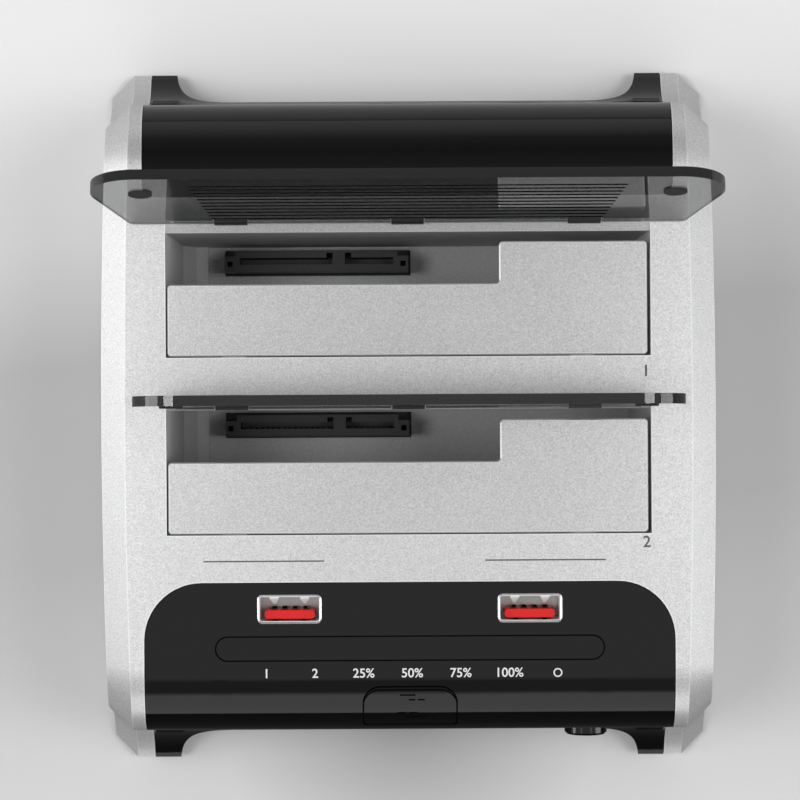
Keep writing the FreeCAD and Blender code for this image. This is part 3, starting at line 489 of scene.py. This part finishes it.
def makeFlapStrips(bay):
    hinge = jointNamed(bay + "_flap_hinge")
    lean = math.radians(-flapStrips["leans"][bay])
    place = Matrix.Translation(hinge["pos_m"]) @ Matrix.Rotation(lean, 4, "X")
    bottom = flapStrips["face"] + flapStrips["depth"] - flapStrips["fit"]
    half = flapStrips["width"] / 2 - flapStrips["fit"]
    bm = bmesh.new()
    for index in range(flapStrips["count"]):
        grow = (flapStrips["topReach"] - flapStrips["baseReach"]) * index / (flapStrips["count"] - 1)
        reach = flapStrips["baseReach"] + grow - flapStrips["fit"]
        z = flapStrips["first"] + index * flapStrips["pitch"]
        low = (-reach, bottom - flapStrips["fill"], z - half)
        softBlock(bm, low, (reach, bottom, z + half), flapStrips["edge"], 1)
    bmesh.ops.transform(bm, matrix=place, verts=bm.verts[:])
    name = bay + "FlapStrips"
    newPiece(name, meshFrom(bm, name), "blackInk", bay + "_flap")


# what is seen inside each USB port
port = {
    "wall": 0.4 * mm, "corner": 1.1 * mm, "rimWidth": 0.4 * mm, "rimHeight": 0.22 * mm, "rimLap": 0.15 * mm,
    "rimRound": 0.6, "rimSink": 0.02 * mm,
    "tabX": 3.2 * mm, "tabWidth": 2.0 * mm, "tabThick": 0.3 * mm, "tabLength": 2.2 * mm,
    "tabDrop": 0.2 * mm, "tabLean": 1.4 * mm, "tabPoint": 0.25, "tabEdge": 0.06 * mm,
    "windows": 4, "windowWidth": 0.95 * mm, "windowPitch": 2.2 * mm, "windowDeep": 0.4 * mm,
    "windowLength": 2.4 * mm, "windowDrop": 0.9 * mm, "windowGap": 0.27 * mm, "windowEdge": 0.06 * mm,
    "notchX": 3.0 * mm, "notchWidth": 0.9 * mm, "notchDeep": 0.3 * mm, "notchLength": 3.0 * mm,
    "notchGap": 0.01 * mm, "notchDrop": 0.5 * mm, "notchEdge": 0.05 * mm,
    "tongueCorner": 0.75 * mm, "tongueEdge": 0.12 * mm,
}


def portRim(low, high):
    # bright folded edge round the mouth
    lap = port["rimLap"]
    bm = bmesh.new()
    made = bmesh.ops.create_grid(bm, x_segments=1, y_segments=1, size=0.5)["verts"]
    size = (high.x - low.x + 2 * lap, high.y - low.y + 2 * lap, 1)
    bmesh.ops.scale(bm, vec=size, verts=made)
    roundOff(bm, made, port["corner"], 6, "VERTICES")
    cutMiddle(bm, bm.faces[:], port["rimWidth"])
    thicken(bm, port["rimHeight"])
    crest = [edge for edge in bm.edges if all(vert.co.z > port["rimHeight"] / 2 for vert in edge.verts)
             and len(edge.link_faces) == 2 and edge.calc_face_angle(0) > 1.0]
    roundOff(bm, crest, port["rimHeight"] * port["rimRound"], 3)
    bmesh.ops.recalc_face_normals(bm, faces=bm.faces[:])
    place = ((low.x + high.x) / 2, (low.y + high.y) / 2, high.z - port["rimSink"])
    bmesh.ops.translate(bm, vec=place, verts=bm.verts[:])
    return bm


def portTabs(low, high):
    # two sprung tabs that lean in from the wall and narrow to a point
    bm = bmesh.new()
    middle = (low.x + high.x) / 2
    back = high.y - port["wall"]
    top = high.z - port["tabDrop"]
    for side in (-1, 1):
        x = middle + side * port["tabX"]
        half = port["tabWidth"] / 2
        near = (x - half, back - port["tabThick"], top - port["tabLength"])
        made = slab(bm, near, (x + half, back, top))
        point = [vert for vert in made if vert.co.z < top - port["tabLength"] / 2]
        for vert in point:
            vert.co.x = x + (vert.co.x - x) * port["tabPoint"]
        bmesh.ops.translate(bm, vec=(0, -port["tabLean"], 0), verts=point)
    roundOff(bm, bm.edges[:], port["tabEdge"], 2)
    return bm


def portShadeBlocks(low, high, tongueHigh):
    # black blocks in the windows above the tongue and in the notches of the lower springs, as painted shade in
    # these openings
    bm = bmesh.new()
    middle = (low.x + high.x) / 2
    half = port["windowWidth"] / 2
    gap = tongueHigh.y + port["windowGap"]
    for index in range(port["windows"]):
        x = middle + (index - (port["windows"] - 1) / 2) * port["windowPitch"]
        near = (x - half, gap, tongueHigh.z - port["windowLength"])
        far = (x + half, gap + port["windowDeep"], tongueHigh.z - port["windowDrop"])
        softBlock(bm, near, far, port["windowEdge"])
    front = low.y + port["wall"]
    for side in (-1, 1):
        x = middle + side * port["notchX"]
        half = port["notchWidth"] / 2
        near = (x - half, front + port["notchGap"], high.z - port["notchLength"])
        far = (x + half, front + port["notchDeep"], high.z - port["notchDrop"])
        softBlock(bm, near, far, port["notchEdge"])
    return bm


def portTongue(low, high):
    # the tongue again, with its upright corners and its top edge rounded
    bm = bmesh.new()
    made = slab(bm, low, high)
    upright = [edge for edge in {edge for vert in made for edge in vert.link_edges}
               if abs(edge.verts[0].co.z - edge.verts[1].co.z) > port["tongueCorner"]]
    roundOff(bm, upright, port["tongueCorner"], 5)
    level = high.z - port["tongueEdge"] / 2
    top = [edge for edge in bm.edges if all(vert.co.z > level for vert in edge.verts)]
    roundOff(bm, top, port["tongueEdge"], 2)
    return bm


def makePort(side):
    low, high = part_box("usb_shell_" + side)
    tongueLow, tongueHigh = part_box("usb_tongue_" + side)
    parts = (
        ("portRim", portRim(low, high), "platedSteel", "steel"),
        ("portTabs", portTabs(low, high), "whiteNylon", "steel"),
        ("portShadeBlocks", portShadeBlocks(low, high, tongueHigh), "blackInk", "black_plastic"),
        ("portTongue", portTongue(tongueLow, tongueHigh), "redTongue", "red_plastic"),
    )
    for kind, bm, material, slotName in parts:
        name = kind + side.capitalize()
        piece = newPiece(name, meshFrom(bm, name), material, "housing")
        if kind == "portTongue":
            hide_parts("usb_tongue_" + side)


# screws that hold the base, in their seats
screws = {
    "x": 57.2 * mm, "frontY": -31.0 * mm, "backY": 44.5 * mm,
    "headRadius": 2.4 * mm, "headLow": 2.75 * mm, "headHigh": 3.65 * mm, "socketRadius": 1.1 * mm,
    "socketDepth": 0.6 * mm, "edge": 0.25 * mm, "headSides": 24, "socketSides": 6,
}


def edgesWithin(verts):
    # the edges that run between two of the vertices
    near = {edge for vert in verts for edge in vert.link_edges}
    return [edge for edge in near if all(end in verts for end in edge.verts)]


def makeScrews():
    bm = bmesh.new()
    places = [(side * screws["x"], y) for y in (screws["frontY"], screws["backY"]) for side in (-1, 1)]
    for x, y in places:
        before = set(bm.verts)
        headSides, socketSides = screws["headSides"], screws["socketSides"]
        outer = bmesh.ops.create_circle(bm, radius=screws["headRadius"], segments=headSides)["verts"]
        inner = bmesh.ops.create_circle(bm, radius=screws["socketRadius"], segments=socketSides)["verts"]
        rings = list({edge for vert in outer + inner for edge in vert.link_edges})
        bmesh.ops.bridge_loops(bm, edges=rings)
        outerRing = edgesWithin(outer)
        innerRing = edgesWithin(inner)
        side = bmesh.ops.extrude_edge_only(bm, edges=outerRing)["geom"]
        sideVerts = liftVerts(bm, side, screws["headHigh"] - screws["headLow"])
        well = bmesh.ops.extrude_edge_only(bm, edges=innerRing)["geom"]
        wellVerts = liftVerts(bm, well, screws["socketDepth"])
        bmesh.ops.contextual_create(bm, geom=wellVerts)
        bmesh.ops.contextual_create(bm, geom=sideVerts)
        roundOff(bm, outerRing, screws["edge"], 3)
        placed = [vert for vert in bm.verts if vert not in before]
        bmesh.ops.translate(bm, vec=(x, y, screws["headLow"]), verts=placed)
    bmesh.ops.recalc_face_normals(bm, faces=bm.faces[:])
    newPiece("baseScrews", meshFrom(bm, "baseScrews"), "platedSteel", "housing")


# ledge that closes the base between its pan and the bowed sides of the shell
baseLedge = {
    "inner": 62.05 * mm, "skin": 2.35 * mm, "sweepRadius": 1700 * mm, "halfLength": 64.5 * mm,
    "bottom": 2.7 * mm, "thickness": 1.5 * mm, "steps": 32,
}


def makeBaseLedges():
    for side, name in ((-1, "baseLedgeLeft"), (1, "baseLedgeRight")):
        bm = bmesh.new()
        bmesh.ops.create_grid(bm, x_segments=1, y_segments=baseLedge["steps"], size=1.0)
        for vert in bm.verts:
            y = vert.co.y * baseLedge["halfLength"]
            sag = baseLedge["sweepRadius"] - math.sqrt(baseLedge["sweepRadius"] ** 2 - y ** 2)
            outer = shellHigh.x - baseLedge["skin"] - sag
            x = baseLedge["inner"] if vert.co.x < 0 else outer
            vert.co = (side * x, y, baseLedge["bottom"])
        thicken(bm, baseLedge["thickness"])
        bmesh.ops.recalc_face_normals(bm, faces=bm.faces[:])
        newPiece(name, meshFrom(bm, name), "mattBlack", "housing")


# black bands in the gaps round the light bar, and round the large button where it meets the panel: painted shade
# in these gaps
gapShade = {
    "width": 0.34 * mm, "proud": 0.012 * mm, "thick": 0.02 * mm, "barGap": 0.1 * mm, "barWidth": 0.3 * mm,
    "barEnd": 0.01 * mm, "buttonHalfWidth": 9.95 * mm, "buttonTop": 18.2, "buttonBottom": 60.4,
    "topCorner": 3.6 * mm, "lowCorner": 1.1 * mm, "bends": 14,
}


def flatBand(halfX, lowY, highY, lowCorner, highCorner, width, thick):
    # a closed band of one width round a rounded rectangle, centred on its outline
    bm = bmesh.new()
    made = bmesh.ops.create_grid(bm, x_segments=1, y_segments=1, size=1.0)["verts"]
    half = width / 2
    for vert in made:
        vert.co.x *= halfX + half
        vert.co.y = highY + half if vert.co.y > 0 else lowY - half
    middle = (lowY + highY) / 2
    for corner, upper in ((lowCorner, False), (highCorner, True)):
        ends = [vert for vert in bm.verts if (vert.co.y > middle) == upper]
        roundOff(bm, ends, corner + half, 8, "VERTICES")
    cutMiddle(bm, bm.faces[:], width)
    thicken(bm, thick)
    bmesh.ops.recalc_face_normals(bm, faces=bm.faces[:])
    return bm


def makeGapShade():
    low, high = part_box("light_bar")
    halfX = (high.x - low.x) / 2 + gapShade["barGap"] / 2
    halfY = (high.y - low.y) / 2 + gapShade["barGap"] / 2
    corner = halfY - gapShade["barEnd"]
    bm = flatBand(halfX, -halfY, halfY, corner, corner, gapShade["barWidth"], gapShade["thick"])
    bmesh.ops.translate(bm, vec=(0, (low.y + high.y) / 2, deckZ + gapShade["proud"]), verts=bm.verts[:])
    newPiece("barGapShade", meshFrom(bm, "barGapShade"), "blackInk", "housing")
    radius = shoulder["radius"]
    top = -math.radians(gapShade["buttonTop"]) * radius
    bottom = -math.radians(gapShade["buttonBottom"]) * radius
    bm = flatBand(gapShade["buttonHalfWidth"], bottom, top, gapShade["lowCorner"], gapShade["topCorner"],
                  gapShade["width"], gapShade["thick"])
    for step in range(1, gapShade["bends"]):
        y = bottom + (top - bottom) * step / gapShade["bends"]
        every = bm.verts[:] + bm.edges[:] + bm.faces[:]
        bmesh.ops.bisect_plane(bm, geom=every, plane_co=(0, y, 0), plane_no=(0, 1, 0))
    for vert in bm.verts:
        turn = -vert.co.y / radius
        vert.co = shoulderMatrix(turn, vert.co.z + gapShade["proud"]) @ Vector((vert.co.x, 0, 0))
    newPiece("buttonGapShade", meshFrom(bm, "buttonGapShade"), "blackInk", "housing")


makeDeckPrint()
makeGapShade()
makeMarks()
makeButtonDashes()
print("prints and dashes made")
for bayName in ("source", "target"):
    makeFlapStrips(bayName)
for portSide in ("left", "right"):
    makePort(portSide)
print("flap strips and ports made")
makeScrews()
makeBaseLedges()
print("base finished")


view = {
    "x": -1.8 * mm, "y": 3.5 * mm, "above": 500 * mm, "roll": math.radians(-0.33),
    "lens": 106.6, "sensor": 36, "nearest": 0.01,
}


def makeCamera():
    data = bpy.data.cameras.new("camera")
    data.lens = view["lens"]
    data.sensor_width = view["sensor"]
    data.clip_start = view["nearest"]
    camera = bpy.data.objects.new("camera", data)
    camera.location = (view["x"], view["y"], deckZ + view["above"])
    camera.rotation_euler = (0, 0, view["roll"])
    bpy.context.scene.collection.objects.link(camera)
    bpy.context.scene.camera = camera


# painted light and shade on the floor: lighter at the front and more so at the back, darker across the middle,
# along a line turned a little; a painted shadow under the front wall;
# and, for glossy rays only, a floor darkened at the front and dimmed at the back, a painted reflection in the
# gloss black
floorTone = {
    "size": 3.0, "roughness": 0.9, "reach": 0.1, "glossFront": 0.06, "glossBack": 0.55,
    "turn": math.radians(6),
    "paintedLightAlongY": (
        (0.0, 0.78), (0.125, 0.72), (0.25, 0.67), (0.37, 0.60),
        (0.6, 0.58), (0.75, 0.80), (0.88, 0.89), (1.0, 0.97),
    ),
    "shadePlace": (0, -0.07, 0), "shadeReach": 0.045, "shadeDepth": 0.55,
}


def rampNode(tree, stops):
    node = tree.nodes.new("ShaderNodeValToRGB")
    steps = node.color_ramp.elements
    while len(steps) < len(stops):
        steps.new(0.5)
    for step, (place, level) in zip(steps, stops):
        step.position = place
        step.color = (level, level, level, 1)
    return node


def spanNode(tree, source, low, high, first, last):
    # a value that runs from first to last as the source runs from low to high
    node = tree.nodes.new("ShaderNodeMapRange")
    for name, value in (("From Min", low), ("From Max", high), ("To Min", first), ("To Max", last)):
        node.inputs[name].default_value = value
    link(tree, source, node.inputs["Value"])
    return node


def makeFloor():
    bm = bmesh.new()
    bmesh.ops.create_grid(bm, x_segments=1, y_segments=1, size=floorTone["size"])
    floor = bpy.data.objects.new("floor", meshFrom(bm, "floor"))
    bpy.context.scene.collection.objects.link(floor)
    material = bpy.data.materials.new("paleFloor")
    material.use_nodes = True
    tree = material.node_tree
    shader = tree.nodes["Principled BSDF"]
    coords = tree.nodes.new("ShaderNodeTexCoord")
    turned = tree.nodes.new("ShaderNodeMapping")
    turned.inputs["Rotation"].default_value = (0, 0, -floorTone["turn"])
    parts = tree.nodes.new("ShaderNodeSeparateXYZ")
    link(tree, coords.outputs["Object"], turned.inputs["Vector"])
    link(tree, turned.outputs[0], parts.inputs[0])
    reach = floorTone["reach"]
    away = tree.nodes.new("ShaderNodeVectorMath")
    away.operation = "DISTANCE"
    away.inputs[1].default_value = floorTone["shadePlace"]
    link(tree, coords.outputs["Object"], away.inputs[0])
    # painted shadow: the floor colour is darkened in a soft spot under the front wall
    shade = spanNode(tree, away.outputs["Value"], 0, floorTone["shadeReach"], floorTone["shadeDepth"], 1)
    along = spanNode(tree, parts.outputs["Y"], -reach, reach, 0, 1)
    # painted light and shade: the floor colour runs lighter at the ends and darker across the middle
    paintedFloorLight = rampNode(tree, floorTone["paintedLightAlongY"])
    link(tree, along.outputs["Result"], paintedFloorLight.inputs["Fac"])
    # painted reflection: glossy rays see the floor darkened at the front and dimmed at the back
    glossFront, glossBack = floorTone["glossFront"], floorTone["glossBack"]
    gloss = spanNode(tree, parts.outputs["Y"], -reach, reach, glossFront, glossBack)
    rays = tree.nodes.new("ShaderNodeLightPath")
    seen = tree.nodes.new("ShaderNodeMix")
    seen.inputs["A"].default_value = 1.0
    link(tree, rays.outputs["Is Glossy Ray"], seen.inputs["Factor"])
    link(tree, gloss.outputs["Result"], seen.inputs["B"])
    level = mathNode(tree, "MULTIPLY", shade.outputs["Result"], seen.outputs["Result"])
    colour = tree.nodes.new("ShaderNodeVectorMath")
    colour.operation = "SCALE"
    link(tree, paintedFloorLight.outputs["Color"], colour.inputs[0])
    link(tree, level.outputs[0], colour.inputs["Scale"])
    link(tree, colour.outputs[0], shader.inputs["Base Color"])
    shader.inputs["Roughness"].default_value = floorTone["roughness"]
    shader.inputs["Specular IOR Level"].default_value = 0.0
    floor.data.materials.append(material)


def areaLamp(name, place, size, power):
    data = bpy.data.lights.new(name, "AREA")
    data.shape = "DISK"
    data.size = size
    data.energy = power
    lamp = bpy.data.objects.new(name, data)
    lamp.location = place
    lamp.rotation_euler = (-Vector(place)).to_track_quat("-Z", "Y").to_euler()
    bpy.context.scene.collection.objects.link(lamp)


lampSet = {
    "leftHighLamp": {"place": (-0.62, 0.0, 1.25), "size": 0.5, "power": 4.4},
    "rightHighLamp": {"place": (0.62, 0.0, 1.25), "size": 0.5, "power": 3.6},
    "leftLowLamp": {"place": (-1.20, 0.1, 0.5), "size": 0.8, "power": 5.6},
    "rightLowLamp": {"place": (1.20, -0.1, 0.5), "size": 0.8, "power": 4.5},
}
# brightness of the studio by how far a direction points to the front (0) or the back (1)
skyStops = [
    (0.0, 0.9), (0.10, 1.0), (0.14, 0.2), (0.27, 0.2), (0.32, 0.5), (0.49, 0.5),
    (0.55, 0.2), (0.75, 0.12), (0.90, 0.2), (1.0, 0.6),
]


def makeLight():
    for name, lamp in lampSet.items():
        areaLamp(name, lamp["place"], lamp["size"], lamp["power"])
    world = bpy.data.worlds.new("studio")
    bpy.context.scene.world = world
    world.use_nodes = True
    tree = world.node_tree
    coords = tree.nodes.new("ShaderNodeTexCoord")
    parts = tree.nodes.new("ShaderNodeSeparateXYZ")
    link(tree, coords.outputs["Generated"], parts.inputs[0])
    span = spanNode(tree, parts.outputs["Y"], -1, 1, 0, 1)
    ramp = rampNode(tree, skyStops)
    link(tree, span.outputs["Result"], ramp.inputs["Fac"])
    link(tree, ramp.outputs["Color"], tree.nodes["Background"].inputs["Color"])
    bpy.context.scene.view_settings.view_transform = "Standard"


makeCamera()
makeFloor()
makeLight()
print("stage ready")
